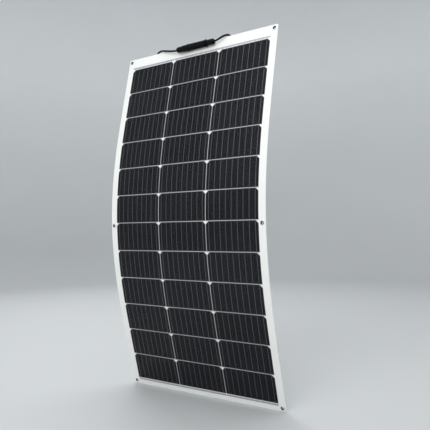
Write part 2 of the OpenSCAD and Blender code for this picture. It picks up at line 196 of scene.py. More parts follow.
class Shader:
    """A material built from nodes; each method adds one node and returns its first output."""

    def __init__(self, name):
        self.material = bpy.data.materials.new(name)
        self.material.use_nodes = True
        self.tree = self.material.node_tree
        self.tree.nodes.clear()

    def node(self, kind, inputs=(), **settings):
        made = self.tree.nodes.new("ShaderNode" + kind)
        for key, value in settings.items():
            setattr(made, key, value)
        pairs = inputs.items() if isinstance(inputs, dict) else enumerate(inputs)
        for key, value in pairs:
            if isinstance(value, bpy.types.NodeSocket):
                self.tree.links.new(value, made.inputs[key])
            elif value is not None:
                made.inputs[key].default_value = value
        return made

    def math(self, operation, *values):
        return self.node("Math", values, operation=operation).outputs[0]

    def mix(self, share, a, b):
        """A colour between a and b, each a socket or an (r, g, b)."""
        made = self.node("Mix", {"Factor": share}, data_type="RGBA")
        for socket, value in ((made.inputs[6], a), (made.inputs[7], b)):
            if isinstance(value, bpy.types.NodeSocket):
                self.tree.links.new(value, socket)
            else:
                socket.default_value = (*value, 1)
        return made.outputs[2]

    def ramp(self, value, low, high, to_low=0.0, to_high=1.0):
        """A value taken from the range low to high to the range to_low to to_high, and held."""
        return self.node("MapRange", (value, low, high, to_low, to_high)).outputs[0]

    def noise(self, place, scale, detail=2.0, roughness=0.5):
        inputs = {"Vector": place, "Scale": scale, "Detail": detail, "Roughness": roughness}
        return self.node("TexNoise", inputs).outputs["Fac"]

    def object_place(self):
        return self.node("TexCoord").outputs["Object"]

    def sheet_place(self):
        """The (x, s) map of a laminate piece, as one vector."""
        return self.node("UVMap").outputs[0]

    def split(self, vector):
        """The first two parts of a vector."""
        parts = self.node("SeparateXYZ", (vector,)).outputs
        return parts[0], parts[1]

    def stripe(self, value, pitch, width, soft=0.3):
        """1 on lines of the given width in the middle of each pitch, else 0."""
        phase = self.math("PINGPONG", value, pitch / 2)
        edge = self.math("SUBTRACT", pitch / 2, phase)
        return self.ramp(edge, width / 2 * (1 + soft), width / 2 * (1 - soft))

    def bump(self, height, distance, strength=1.0, normal=None):
        inputs = {"Strength": strength, "Distance": distance, "Height": height, "Normal": normal}
        return self.node("Bump", inputs).outputs[0]

    def finish(self, surface):
        out = self.node("OutputMaterial")
        self.tree.links.new(surface, out.inputs["Surface"])
        return self.material

    def principled(self, color, roughness, normal=None, **more):
        inputs = {"Base Color": color, "Roughness": roughness, "Normal": normal}
        inputs.update({key.replace("_", " "): value for key, value in more.items()})
        return self.finish(self.node("BsdfPrincipled", inputs).outputs[0])


# ---- Materials -----------------------------------------------------------------------------

def film_material():
    """Clear fluoropolymer film: a soft fresnel reflection over whatever lies behind it."""
    m = Shader("clear_film")
    place = m.sheet_place()
    normal = m.bump(m.noise(place, 60, 2), 0.1 * MM)
    rough = m.ramp(m.noise(place, 25, 3), 0.3, 0.7, 0.2, 0.3)
    gloss = m.node("BsdfGlossy", {"Color": (1, 1, 1, 1), "Roughness": rough, "Normal": normal})
    clear = m.node("BsdfTransparent", {"Color": (1, 1, 1, 1)})
    facing = m.node("Fresnel", {"IOR": 1.38}).outputs[0]
    behind = m.node("NewGeometry").outputs["Backfacing"]
    matt = m.math("MULTIPLY", facing, 0.22)
    share = m.math("MULTIPLY", matt, m.math("SUBTRACT", 1.0, behind))
    both = m.node("MixShader", (share, clear.outputs[0], gloss.outputs[0]))
    return m.finish(both.outputs[0])


def laminate_tint(m, place):
    """Slightly clouded white."""
    return m.mix(m.noise(place, 9, 2), (0.80, 0.805, 0.785), (0.84, 0.845, 0.825))


def in_cell_field(m, x, s):
    """1 between the outer edges of the outermost cells, else 0."""
    in_width = m.math("LESS_THAN", m.math("ABSOLUTE", x), FIELD_HALF_W)
    below_top = m.math("LESS_THAN", s, TOP_CELLS_S)
    above_bottom = m.math("GREATER_THAN", s, BOTTOM_CELLS_S)
    return m.math("MULTIPLY", in_width, m.math("MULTIPLY", below_top, above_bottom))


def from_column_gap(m, x):
    """Distance across the sheet to the nearest line half way between two columns."""
    return m.math("PINGPONG", m.math("ADD", x, COLUMN_PITCH / 2), COLUMN_PITCH / 2)


def laminate_material():
    """White glass-fibre laminate, smooth, and greyer in the shade between two cells."""
    m = Shader("white_laminate")
    place = m.sheet_place()
    x, s = m.split(place)
    across = from_column_gap(m, x)
    down = m.math("WRAP", m.math("ADD", s, CELL_GAP / 2), ROW_PITCH, 0.0)
    corner = m.math("ADD", across, m.math("SUBTRACT", ROW_PITCH, down))
    closed = m.ramp(corner, CELL_CHAMFER * 0.9, CELL_CHAMFER * 1.1)
    # The grey between the cells is painted shade, kept clear of the chamfer corners.
    in_gap = m.math("MULTIPLY", in_cell_field(m, x, s), closed)
    shade = m.math("MULTIPLY", in_gap, 0.55)
    tint = m.mix(shade, laminate_tint(m, place), (0.30, 0.30, 0.31))
    rough = m.ramp(m.noise(place, 120, 3), 0.3, 0.7, 0.42, 0.6)
    return m.principled(tint, rough, m.bump(m.noise(place, 40, 3), 0.05 * MM, 0.8))


def back_material():
    """The laminate's rear face: a fine weave, with the cells printing through as a relief."""
    m = Shader("woven_back")
    place = m.sheet_place()
    x, s = m.split(place)
    weave_pitch = 1.1 * MM
    warp = m.math("SINE", m.math("MULTIPLY", x, 2 * math.pi / weave_pitch))
    weft = m.math("SINE", m.math("MULTIPLY", s, 2 * math.pi / weave_pitch))
    weave = m.math("MULTIPLY", warp, weft)
    line = m.math("MINIMUM", from_column_gap(m, x), m.math("PINGPONG", s, ROW_PITCH / 2))
    outside = m.math("MAXIMUM", m.math("ABSOLUTE", x), FIELD_HALF_W)
    beyond = m.math("SUBTRACT", outside, FIELD_HALF_W)
    relief = m.ramp(m.math("ADD", line, beyond), 0.5 * MM, 3 * MM)
    cloud = m.noise(place, 9, 2)
    height = m.math("ADD", m.math("MULTIPLY", weave, 0.35), m.math("MULTIPLY", cloud, 0.8))
    height = m.math("ADD", height, m.math("MULTIPLY", relief, 3.0))
    rough = m.ramp(m.noise(place, 120, 3), 0.3, 0.7, 0.42, 0.6)
    over_cell = m.math("MULTIPLY", relief, in_cell_field(m, x, s))
    tint = m.mix(m.math("MULTIPLY", over_cell, 0.5), laminate_tint(m, place), (0.69, 0.70, 0.70))
    return m.principled(tint, rough, m.bump(height, 0.05 * MM, 0.8))


def silicon_material():
    """Near-black monocrystalline silicon with fine silver fingers across each cell."""
    m = Shader("mono_silicon")
    place = m.sheet_place()
    x, s = m.split(place)
    column = m.math("FLOOR", m.math("DIVIDE", m.math("ADD", x, HALF_W), COLUMN_PITCH))
    row = m.math("FLOOR", m.math("DIVIDE", s, ROW_PITCH))
    number = m.node("CombineXYZ", (column, row)).outputs[0]
    shade = m.node("TexWhiteNoise", {"Vector": number}, noise_dimensions="3D").outputs["Value"]
    cloud = m.noise(place, 22, 3)
    tone = m.math("ADD", m.math("MULTIPLY", shade, 0.55), m.math("MULTIPLY", cloud, 0.45))
    dark = m.mix(tone, (0.0062, 0.0064, 0.0084), (0.0098, 0.01, 0.013))
    finger = m.stripe(s, 1.5 * MM, 0.07 * MM)
    tint = m.mix(m.math("MULTIPLY", finger, 0.8), dark, (0.1, 0.1, 0.11))
    normal = m.bump(m.noise(place, 900, 2), 0.01 * MM, 0.4)
    rough = m.ramp(cloud, 0.3, 0.7, 0.34, 0.46)
    return m.principled(tint, rough, normal, Specular_IOR_Level=0.06)


def ribbon_material(name, light, roughness):
    """Solder-tinned copper, with drawn streaks along it and slightly duller patches."""
    m = Shader(name)
    place = m.sheet_place()
    stretched = m.node("Mapping", {"Vector": place, "Scale": (900, 45, 1)}).outputs[0]
    streak = m.noise(stretched, 1.0, 3)
    patch = m.noise(place, 160, 3)
    tint = m.mix(m.ramp(patch, 0.35, 0.65), tuple(0.86 * c for c in light), light)
    rough = m.ramp(streak, 0.3, 0.7, roughness - 0.08, roughness + 0.1)
    normal = m.bump(m.math("ADD", streak, m.math("MULTIPLY", patch, 1.5)), 0.04 * MM, 0.7)
    return m.principled(tint, rough, normal, Metallic=0.85)


def nickel_material():
    """Bright nickel plate with a fine grain and a few dull spots."""
    m = Shader("eyelet_nickel")
    place = m.object_place()
    spots = m.noise(place, 700, 3)
    fine = m.noise(place, 4200, 2)
    tint = m.mix(m.ramp(spots, 0.35, 0.7), (0.86, 0.86, 0.86), (0.95, 0.95, 0.94))
    rough = m.ramp(spots, 0.3, 0.7, 0.22, 0.38)
    return m.principled(tint, rough, m.bump(fine, 0.02 * MM, 0.5), Metallic=0.6)


def throat_material():
    """The eyelet's inside, painted near-black as a painted shade in its hole."""
    m = Shader("eyelet_throat")
    place = m.object_place()
    shade_mottle = m.noise(place, 1500, 3)
    # Near-black painted shade, mottled at random.
    tint = m.mix(shade_mottle, (0.002, 0.002, 0.002), (0.006, 0.005, 0.005))
    return m.principled(tint, m.ramp(shade_mottle, 0.3, 0.7, 0.5, 0.75), Specular_IOR_Level=0.06)


def moulded_material(name, dark, light, roughness, grain_size):
    """Moulded black plastic: spark-eroded grain, soft cloudy sheen and a painted highlight that makes its rims
    paler.
    """
    m = Shader(name)
    place = m.object_place()
    grain = m.noise(place, 1 / grain_size, 3, 0.6)
    cloud = m.noise(place, 60, 3)
    bevel = m.node("Bevel", {"Radius": 0.5 * MM}, samples=4).outputs[0]
    plain = m.node("NewGeometry").outputs["Normal"]
    turn = m.node("VectorMath", (bevel, plain), operation="DOT_PRODUCT").outputs["Value"]
    # Paler rims, a painted highlight: where the bevelled normal turns from the face, the colour lightens.
    rim = m.ramp(turn, 0.985, 0.9)
    tint = m.mix(m.ramp(cloud, 0.35, 0.65), dark, light)
    tint = m.mix(m.math("MULTIPLY", rim, 0.35), tint, tuple(4 * c for c in light))
    rough = m.ramp(cloud, 0.3, 0.7, roughness - 0.06, roughness + 0.08)
    normal = m.bump(grain, grain_size * 0.12, 0.5, bevel)
    return m.principled(tint, rough, normal, Specular_IOR_Level=0.09)


def jacket_material():
    """Cross-linked cable jacket: satin black with a fine grain and a little dust."""
    m = Shader("lead_jacket")
    place = m.object_place()
    dust = m.noise(place, 260, 4)
    fine = m.noise(place, 2200, 2)
    tint = m.mix(m.ramp(dust, 0.5, 0.8), (0.004, 0.004, 0.0045), (0.012, 0.012, 0.012))
    rough = m.ramp(dust, 0.3, 0.7, 0.38, 0.55)
    return m.principled(tint, rough, m.bump(fine, 0.03 * MM, 0.5), Specular_IOR_Level=0.18)


def silicone_material():
    """Matt grey silicone of the seals."""
    m = Shader("silicone_seal")
    place = m.object_place()
    cloud = m.noise(place, 400, 3)
    tint = m.mix(cloud, (0.05, 0.05, 0.055), (0.085, 0.085, 0.09))
    return m.principled(tint, m.ramp(cloud, 0.3, 0.7, 0.6, 0.75), m.bump(cloud, 0.05 * MM, 0.5))


def contact_material():
    """Tin-plated brass of the contacts and terminals, warm where the plate is thin."""
    m = Shader("contact_metal")
    place = m.object_place()
    thin = m.noise(place, 110, 2)
    fine = m.noise(place, 3000, 2)
    tint = m.mix(m.ramp(thin, 0.3, 0.9), (0.70, 0.68, 0.62), (0.66, 0.52, 0.30))
    rough = m.ramp(thin, 0.3, 0.7, 0.22, 0.36)
    return m.principled(tint, rough, m.bump(fine, 0.02 * MM, 0.5), Metallic=1.0)


def diode_material():
    """Glossy black epoxy of the diodes, slightly cloudy."""
    m = Shader("diode_epoxy")
    place = m.object_place()
    cloud = m.noise(place, 500, 3)
    tint = m.mix(cloud, (0.012, 0.012, 0.013), (0.03, 0.03, 0.032))
    return m.principled(tint, m.ramp(cloud, 0.3, 0.7, 0.2, 0.34), m.bump(cloud, 0.03 * MM, 0.4))


def sealant_material():
    """The bead of white sealant that holds the junction box on."""
    m = Shader("white_sealant")
    place = m.object_place()
    cloud = m.noise(place, 180, 4)
    tint = m.mix(cloud, (0.62, 0.62, 0.6), (0.78, 0.78, 0.76))
    return m.principled(tint, m.ramp(cloud, 0.3, 0.7, 0.35, 0.5), m.bump(cloud, 0.4 * MM, 0.6))


def studio_material(floor, wall):
    """Pale painted studio, barely mottled, darker low down than up the wall: a painted shade that evens out the
    stronger light on the floor.
    """
    m = Shader("studio_paint")
    place = m.object_place()
    height = m.node("SeparateXYZ", (place,)).outputs["Z"]
    # Painted shade: the floor colour low down, paler with height up the wall.
    tint = m.mix(m.ramp(height, 0.0, 2.2), floor, wall)
    cloud = m.ramp(m.noise(place, 1.6, 3), 0.3, 0.7, 0.0, 0.05)
    return m.principled(m.mix(cloud, tint, (0.4, 0.4, 0.4)), 0.75, Specular_IOR_Level=0.1)


# ---- Mesh helpers --------------------------------------------------------------------------

SHARP_ANGLE = math.radians(32)


def new_object(name, mesh, *materials):
    obj = bpy.data.objects.new(name, mesh)
    bpy.context.scene.collection.objects.link(obj)
    for material in materials:
        mesh.materials.append(material)
    return obj


def tidy_mesh(bm, name):
    """Turns a bmesh into a mesh with outward faces, smooth apart from its real edges."""
    bmesh.ops.recalc_face_normals(bm, faces=bm.faces[:])
    mesh = bpy.data.meshes.new(name)
    bm.to_mesh(mesh)
    bm.free()
    mesh.shade_smooth()
    mesh.set_sharp_from_angle(angle=SHARP_ANGLE)
    return mesh


def circle_points(cx, cs, radius, count=40, start=0.0, sweep=2 * math.pi):
    """Points round a circle, or along an arc of it with a point at both ends."""
    closed = abs(sweep - 2 * math.pi) < 1e-9
    steps = count if closed else count - 1
    angles = [start + sweep * i / steps for i in range(count)]
    return [(cx + radius * math.cos(a), cs + radius * math.sin(a)) for a in angles]


def add_plate(bm, outer, holes, front, back):
    """Adds a closed plate to bm, from an outline and its holes in (x, s)."""
    made = bmesh.new()
    loops = []
    for outline in [outer] + holes:
        verts = [made.verts.new((x, s, front)) for x, s in outline]
        for i, vert in enumerate(verts):
            made.edges.new((vert, verts[(i + 1) % len(verts)]))
        loops.append(verts)
    bmesh.ops.triangle_fill(made, use_beauty=True, edges=made.edges[:])
    front_faces = made.faces[:]
    twin = {v: made.verts.new((v.co.x, v.co.y, back)) for v in made.verts[:]}
    for face in front_faces:
        made.faces.new([twin[v] for v in reversed(face.verts)])
    for verts in loops:
        for i, vert in enumerate(verts):
            following = verts[(i + 1) % len(verts)]
            made.faces.new((vert, following, twin[following], twin[vert]))
    made.normal_update()
    mesh = bpy.data.meshes.new("plate")
    made.to_mesh(mesh)
    made.free()
    bm.from_mesh(mesh)
    bpy.data.meshes.remove(mesh)


def cut_lines(bm, xs=(), ss=()):
    """Cuts every face along the lines x = const and s = const, so that the plate can bend."""
    for values, normal in ((xs, (1, 0, 0)), (ss, (0, 1, 0))):
        for value in values:
            geometry = bm.verts[:] + bm.edges[:] + bm.faces[:]
            at = tuple(value * c for c in normal)
            bmesh.ops.bisect_plane(bm, geom=geometry, dist=1e-7, plane_co=at, plane_no=normal)


def lay_on_sheet(bm):
    """Stores (x, s) as the UV map and moves the flat vertices onto the bow."""
    uv = bm.loops.layers.uv.new("UVMap")
    for face in bm.faces:
        for loop in face.loops:
            loop[uv].uv = loop.vert.co.xy
    flat = np.array([v.co for v in bm.verts], float)
    for vert, where in zip(bm.verts, on_sheet(flat)):
        vert.co = where


# ---- Strips of the laminate ----------------------------------------------------------------

BEND_CUTS = 8
CROSS_CUT = 14 * MM


class Strip:
    """A stretch of the sheet between two heights, and the CAD bodies that carry it."""

    def __init__(self, name, low, high, above, below):
        self.name, self.low, self.high = name, low, high
        self.above, self.below = above, below

    def carry(self, obj):
        """Rides a piece on the strip's one body, or, for a strip between two bodies, bakes its place into the mesh
        and leaves it unparented.
        """
        if self.above == self.below:
            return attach(obj, self.above)
        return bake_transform(obj)

    def segments(self):
        return sorted({self.above, self.below})

    def bend_lines(self):
        """Heights at which the pieces of this strip are cut to follow the bow."""
        if self.above == self.below:
            step = ROW_PITCH / BEND_CUTS
            count = int((self.high - self.low) / step)
            first = self.low if self.low > 0 else self.high
            turn = 1 if self.low > 0 else -1
            return [first + turn * step * i for i in range(1, count + 1)]
        step = (self.high - self.low) / BEND_CUTS
        return [self.low + step * i for i in range(1, BEND_CUTS)]

    def rows(self):
        """Cell rows that reach into this strip, counted from 1 at the top."""
        return [r for r in range(1, ROWS + 1)
                if row_low(r) < self.high and row_low(r) + CELL_H > self.low]

    def eyelets(self):
        return [s for s in EYELET_S.values() if self.low < s < self.high]


def row_low(row):
    return (ROWS / 2 - row) * ROW_PITCH + CELL_GAP / 2


def column_x(column):
    return (column - (COLUMNS - 1) / 2) * COLUMN_PITCH


def make_strips():
    """A strip round each gap that bends, and one at either end that doesn't."""
    strips = [Strip("top", BOW_REACH, TOP_S, SEGMENTS[0], SEGMENTS[0])]
    for i, gap in enumerate(range(2, 11)):
        line = (ROWS / 2 - gap) * ROW_PITCH
        strips.append(Strip(f"gap_{gap}", line - ROW_PITCH / 2, line + ROW_PITCH / 2,
                            SEGMENTS[i], SEGMENTS[i + 1]))
    strips.append(Strip("bottom", BOTTOM_S, -BOW_REACH, SEGMENTS[-1], SEGMENTS[-1]))
    return strips


def strip_outline(strip):
    """The strip's outline in (x, s), with the sheet's rounded corners."""
    quarter = math.pi / 2
    inner = HALF_W - CORNER_R
    points = []
    for sx, sy, start in ((1, 1, 0), (-1, 1, 1), (-1, -1, 2), (1, -1, 3)):
        s = strip.high if sy > 0 else strip.low
        if s in (TOP_S, BOTTOM_S):
            points += circle_points(sx * inner, s - sy * CORNER_R, CORNER_R, 9,
                                    start * quarter, quarter)
        else:
            points.append((sx * HALF_W, s))
    return points


def eyelet_holes(strip):
    """An outline for each eyelet's hole in the strip."""
    return [circle_points(sx * EYELET_X, s, HOLE_R) for s in strip.eyelets() for sx in (-1, 1)]


def cross_lines(half_width, pitch):
    """The x of cuts at every pitch, out to both sides of the middle."""
    count = int(half_width / pitch)
    return [pitch * i for i in range(-count, count + 1)]


TOP_CELLS_S = row_low(1) + CELL_H
BOTTOM_CELLS_S = row_low(ROWS)
POCKET_TOP = TOP_CELLS_S + BUS_OFFSET + BUS_W + 2 * POCKET_CLEARANCE
POCKET_BOTTOM = BOTTOM_CELLS_S - BUS_OFFSET - BUS_W - 2 * POCKET_CLEARANCE


def pocket_edges():
    """The x of each pocket's two edges."""
    half = CELL_W / 2 + POCKET_CLEARANCE
    return [(column_x(c) - half, column_x(c) + half) for c in range(COLUMNS)]


def in_pocket(x, s):
    if not POCKET_BOTTOM < s < POCKET_TOP:
        return False
    if s > TOP_CELLS_S or s < BOTTOM_CELLS_S:
        return abs(x) < FIELD_HALF_W + POCKET_CLEARANCE
    return any(low < x < high for low, high in pocket_edges())


def strip_piece(kind, strip, bm, slot, *materials):
    """Lays a strip's flat mesh on the bow, as the piece that stands for its segments' nodes."""
    lay_on_sheet(bm)
    obj = new_object(f"{kind}_{strip.name}", tidy_mesh(bm, kind), *materials)
    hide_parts(*[f"{kind}_{segment}" for segment in strip.segments()])
    strip.carry(obj)


def make_film(strip, material):
    bm = bmesh.new()
    add_plate(bm, strip_outline(strip), eyelet_holes(strip), FRONT, FILM_BACK)
    cut_lines(bm, cross_lines(HALF_W, CROSS_CUT), strip.bend_lines())
    strip_piece("film", strip, bm, "front_film", material)


def make_backsheet(strip, front, back):
    """The white laminate, with its front relief of pockets for the cells and bus ribbons."""
    bm = bmesh.new()
    add_plate(bm, strip_outline(strip), eyelet_holes(strip), CORE_FRONT, BACK)
    paired_x = [x + side * POCKET_STEP for edges in pocket_edges()
                for x in edges for side in (-0.5, 0.5)]
    paired_s = [s + side * POCKET_STEP
                for s in (TOP_CELLS_S, BOTTOM_CELLS_S, POCKET_TOP, POCKET_BOTTOM)
                if strip.low < s < strip.high for side in (-0.5, 0.5)]
    cut_lines(bm, cross_lines(HALF_W, CROSS_CUT) + paired_x, strip.bend_lines() + paired_s)
    for vert in bm.verts:
        if abs(vert.co.z - CORE_FRONT) < 1e-7 and in_pocket(vert.co.x, vert.co.y):
            vert.co.z = POCKET_FLOOR
    for face in bm.faces:
        face.material_index = int(all(vert.co.z > BACK - 1e-6 for vert in face.verts))
    strip_piece("backsheet", strip, bm, "backsheet", front, back)


def cell_outline(row, column, low, high):
    """The part of one cell's outline between two heights; its upper corners are chamfered."""
    x, s = column_x(column), row_low(row)
    half, top, cut = CELL_W / 2, s + CELL_H, CELL_CHAMFER
    bottom = max(s, low)
    if high < top:
        return [(x - half, bottom), (x + half, bottom), (x + half, high), (x - half, high)]
    return [(x - half, bottom), (x + half, bottom), (x + half, top - cut),
            (x + half - cut, top), (x - half + cut, top), (x - half, top - cut)]


def make_cells(strip, material):
    """The cells, or the parts of cells, that lie in the strip."""
    bm = bmesh.new()
    for row in strip.rows():
        for column in range(COLUMNS):
            outline = cell_outline(row, column, strip.low, strip.high)
            add_plate(bm, outline, [], CELL_FRONT, CELL_BACK)
    cut_lines(bm, cross_lines(FIELD_HALF_W, CROSS_CUT), strip.bend_lines())
    strip_piece("cells", strip, bm, "cells", material)


def add_bar(bm, stations, section):
    """Adds a closed bar: section(station) gives each ring of (x, s, depth) points."""
    rings = [[bm.verts.new(p) for p in section(station)] for station in stations]
    count = len(rings[0])
    for near, far in zip(rings, rings[1:]):
        for i in range(count):
            j = (i + 1) % count
            bm.faces.new((near[i], near[j], far[j], far[i]))
    bm.faces.new(rings[0])
    bm.faces.new(list(reversed(rings[-1])))


def flat_section(centre, half, front, back, crown=0.6):
    """A rounded-edge ribbon's cross-section: (across, depth) pairs."""
    mid = (front + back) / 2
    return [(centre - half, back), (centre - half, mid), (centre - crown * half, front),
            (centre + crown * half, front), (centre + half, mid), (centre + half, back)]


def make_ribbons(strip, material):
    """Nine busbar ribbons to each column, running the strip's whole height over the cells."""
    bm = bmesh.new()
    low = max(strip.low, BOTTOM_CELLS_S - BUS_OFFSET - BUS_W)
    high = min(strip.high, TOP_CELLS_S + BUS_OFFSET + BUS_W)
    stations = [low] + [s for s in sorted(strip.bend_lines()) if low < s < high] + [high]
    for column in range(COLUMNS):
        for x in ribbon_x(column):
            profile = flat_section(x, RIBBON_W / 2, RIBBON_FRONT, CELL_FRONT)
            add_bar(bm, stations, lambda s: [(across, s, depth) for across, depth in profile])
    strip_piece("ribbons", strip, bm, "ribbon", material)


def ribbon_x(column):
    """The x of each busbar ribbon of a column."""
    pitch = CELL_W / RIBBONS_PER_CELL
    return [column_x(column) - CELL_W / 2 + (n + 0.5) * pitch for n in range(RIBBONS_PER_CELL)]


MOUND_SIDES = 14
MOUND_PROFILE = ((1.0, 0.0), (0.92, 0.45), (0.6, 0.88), (0.2, 1.0))


def add_mound(bm, x, s, half_x, half_s, base, top):
    """A low closed blob of solder on a flat surface."""
    rings = []
    for share, rise in MOUND_PROFILE:
        ring = []
        for i in range(MOUND_SIDES):
            a = 2 * math.pi * i / MOUND_SIDES
            reach = share * (1 + 0.08 * math.sin(3 * a + 40 * x))
            ring.append(bm.verts.new((x + half_x * reach * math.cos(a),
                                      s + half_s * reach * math.sin(a),
                                      base + rise * (top - base))))
        rings.append(ring)
    for near, far in zip(rings, rings[1:]):
        skin(bm, near, far)
    bm.faces.new(list(reversed(rings[0])))
    bm.faces.new(rings[-1])


def make_bus(place, low_s, short_side, body, material):
    """One short and one long bus ribbon, with a mound of solder where each busbar crosses."""
    bm = bmesh.new()
    centre = low_s + BUS_W / 2
    profile = flat_section(centre, BUS_W / 2, CELL_FRONT, CELL_BACK, 0.94)
    long_w = 2 * CELL_W + CELL_GAP
    spans = [(short_side * COLUMN_PITCH, CELL_W), (-short_side * COLUMN_PITCH / 2, long_w)]
    for middle, width in spans:
        steps = round(width / CROSS_CUT)
        stations = [middle - width / 2 + width * i / steps for i in range(steps + 1)]
        add_bar(bm, stations, lambda x: [(x, s, depth) for s, depth in profile])
    for column in range(COLUMNS):
        for x in ribbon_x(column):
            add_mound(bm, x, centre, 1.3 * MM, 2 * MM, CELL_FRONT, SOLDER_TOP)
    lay_on_sheet(bm)
    obj = new_object(f"bus_pair_{place}", tidy_mesh(bm, "bus"), material)
    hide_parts(f"bus_ribbons_{place}")
    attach(obj, body)


# ---- Eyelets -------------------------------------------------------------------------------

def turned_rings(bm, profile, segments):
    """Rings of vertices for a profile of (radius, height) turned about Z, skinned in order."""
    rings = []
    for radius, height in profile:
        circle = circle_points(0, 0, radius, segments)
        rings.append([bm.verts.new((x, y, height)) for x, y in circle])
    for near, far in zip(rings, rings[1:]):
        skin(bm, near, far)
    return rings


def skin(bm, near, far):
    """Joins two rings of as many vertices with a band of faces."""
    for i in range(len(near)):
        j = (i + 1) % len(near)
        bm.faces.new((near[i], near[j], far[j], far[i]))


def arc(cx, cz, radius, start, end, count):
    """Points of an arc in a turned profile, angles in degrees."""
    angles = [math.radians(start + (end - start) * i / (count - 1)) for i in range(count)]
    return [(cx + radius * math.cos(a), cz + radius * math.sin(a)) for a in angles]


EYELET_BORE = MOUNTS["eyelet_top_left"]["dims"]["r_mm"] * MM
FLANGE_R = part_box("eyelets_middle")[1].x - EYELET_X
FLANGE_T = 0.8 * MM
THROAT_R = 1.25 * MM
FLARE = 0.1 * MM
LIP_R = 0.75 * MM
REAR_EDGE_R = 0.7 * MM
BARREL_R = HOLE_R - 0.05 * MM
# Inside this radius the eyelet is painted near-black, a painted shade in its hole.
DARK_R = 5 * MM


def eyelet_profile():
    """Cross-section of a set eyelet, front at negative height, rolled over at the back."""
    front, back = FRONT - FLANGE_T, BACK + FLANGE_T
    mouth_r = THROAT_R + FLARE
    mouth = arc(EYELET_BORE + mouth_r, front + THROAT_R, mouth_r, 180, 262, 8)
    rim = arc(FLANGE_R - LIP_R, front + LIP_R, LIP_R, 270, 358, 7)
    rear = arc(FLANGE_R - LIP_R, back - LIP_R, LIP_R, 2, 90, 7)
    inside = arc(EYELET_BORE + REAR_EDGE_R, back - REAR_EDGE_R, REAR_EDGE_R, 90, 178, 6)
    barrel = [(BARREL_R, FRONT), (BARREL_R, BACK)]
    return mouth + [(DARK_R, front)] + rim + barrel + rear + inside


def make_eyelets(place, body, bright, dark):
    """The left and right eyelet of a pair, bright outside DARK_R and painted near-black inside it, as painted
    shade.
    """
    profile = eyelet_profile()
    for side, sx in (("left", -1), ("right", 1)):
        bm = bmesh.new()
        rings = turned_rings(bm, profile, 64)
        skin(bm, rings[-1], rings[0])
        for face in bm.faces:
            middle = face.calc_center_median()
            # Faces inside DARK_R take the near-black painted shade.
            if math.hypot(middle.x, middle.y) < DARK_R:
                face.material_index = 1
        turn = Matrix.Rotation(math.radians(-90), 4, "X")
        bm.transform(local_frame(sx * EYELET_X, EYELET_S[place]) @ turn)
        obj = new_object(f"eyelet_{place}_{side}", tidy_mesh(bm, "eyelet"), bright, dark)
        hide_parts(f"eyelets_{place}")
        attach(obj, body)


# ---- Leads ---------------------------------------------------------------------------------

LEAD_R = 3.05 * MM
GRIPPED_R = 2.7 * MM
BOX_GRIP = 21 * MM
LEFT_GLAND_GRIP = 31 * MM
RIGHT_GLAND_GRIP = 38 * MM
SWELL_RUN = 4 * MM
BOX_DROP = 43.5
BOSS_END = 65
LEAD_DEPTH = 7.75
PLUG_FRONT = 12.6
PLUG_DROP = 13
NUT_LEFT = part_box("socket_nut")[0].x / MM
NUT_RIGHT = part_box("plug_nut")[1].x / MM
# Each route, in millimetres, is (x, depth, height over the sheet's top edge): from the box's
# boss, up behind the sheet, over the edge and down to the connector axis.
LEFT_REAR = [(-46, LEAD_DEPTH, -BOX_DROP), (-BOSS_END - 3, LEAD_DEPTH, -BOX_DROP),
             (-BOSS_END - 10, LEAD_DEPTH, -BOX_DROP), (-110, 8.5, -40), (-145, 9.5, -27),
             (-162, 8.5, -9), (-161, 4.5, 2.6)]
LEFT_FRONT = [(-151, 0, 6.2), (-136, -4.5, 4.6), (-115, -9, -2.4), (-93, -11.8, -9.4),
              (NUT_LEFT - 9, -PLUG_FRONT, -PLUG_DROP), (NUT_LEFT - 3, -PLUG_FRONT, -PLUG_DROP),
              (NUT_LEFT + 29, -PLUG_FRONT, -PLUG_DROP)]
RIGHT = [(46, LEAD_DEPTH, -BOX_DROP), (BOSS_END + 3, LEAD_DEPTH, -BOX_DROP),
         (BOSS_END + 10, LEAD_DEPTH, -BOX_DROP), (99, 9, -37), (115, 9.5, -20), (117, 7, -4),
         (111, 2.2, 4.4), (103.5, -2.6, 4.6), (94.5, -8, -1), (86, -11.2, -7.6),
         (78.5, -12.5, -11.8), (NUT_RIGHT + 2, -PLUG_FRONT, -PLUG_DROP),
         (NUT_RIGHT - 4, -PLUG_FRONT, -PLUG_DROP), (NUT_RIGHT - 36, -PLUG_FRONT, -PLUG_DROP)]


def smooth_route(route, steps=9):
    """A Catmull-Rom curve through a route, as row-frame points grouped by span."""
    p = [point(x * MM, TOP_S + height * MM, depth * MM) for x, depth, height in route]
    ends = [2 * p[0] - p[1]] + p + [2 * p[-1] - p[-2]]
    spans = []
    for a, b, c, d in zip(ends, ends[1:], ends[2:], ends[3:]):
        span = []
        for k in range(steps):
            t = k / steps
            span.append(b + 0.5 * t * ((c - a) + t * (2 * a - 5 * b + 4 * c - d
                                                      + t * (3 * (b - c) + d - a))))
        spans.append(span)
    spans.append([p[-1]])
    return spans


def lead_radii(path, gland_grip):
    """The lead's radius at each point: squeezed in the box's boss and in the gland."""
    steps = [(b - a).length for a, b in zip(path, path[1:])]
    run = [sum(steps[:i]) for i in range(len(path))]
    free = [min(along - BOX_GRIP, run[-1] - along - gland_grip) for along in run]
    return [GRIPPED_R + (LEAD_R - GRIPPED_R) * min(max(f / SWELL_RUN, 0), 1) for f in free]


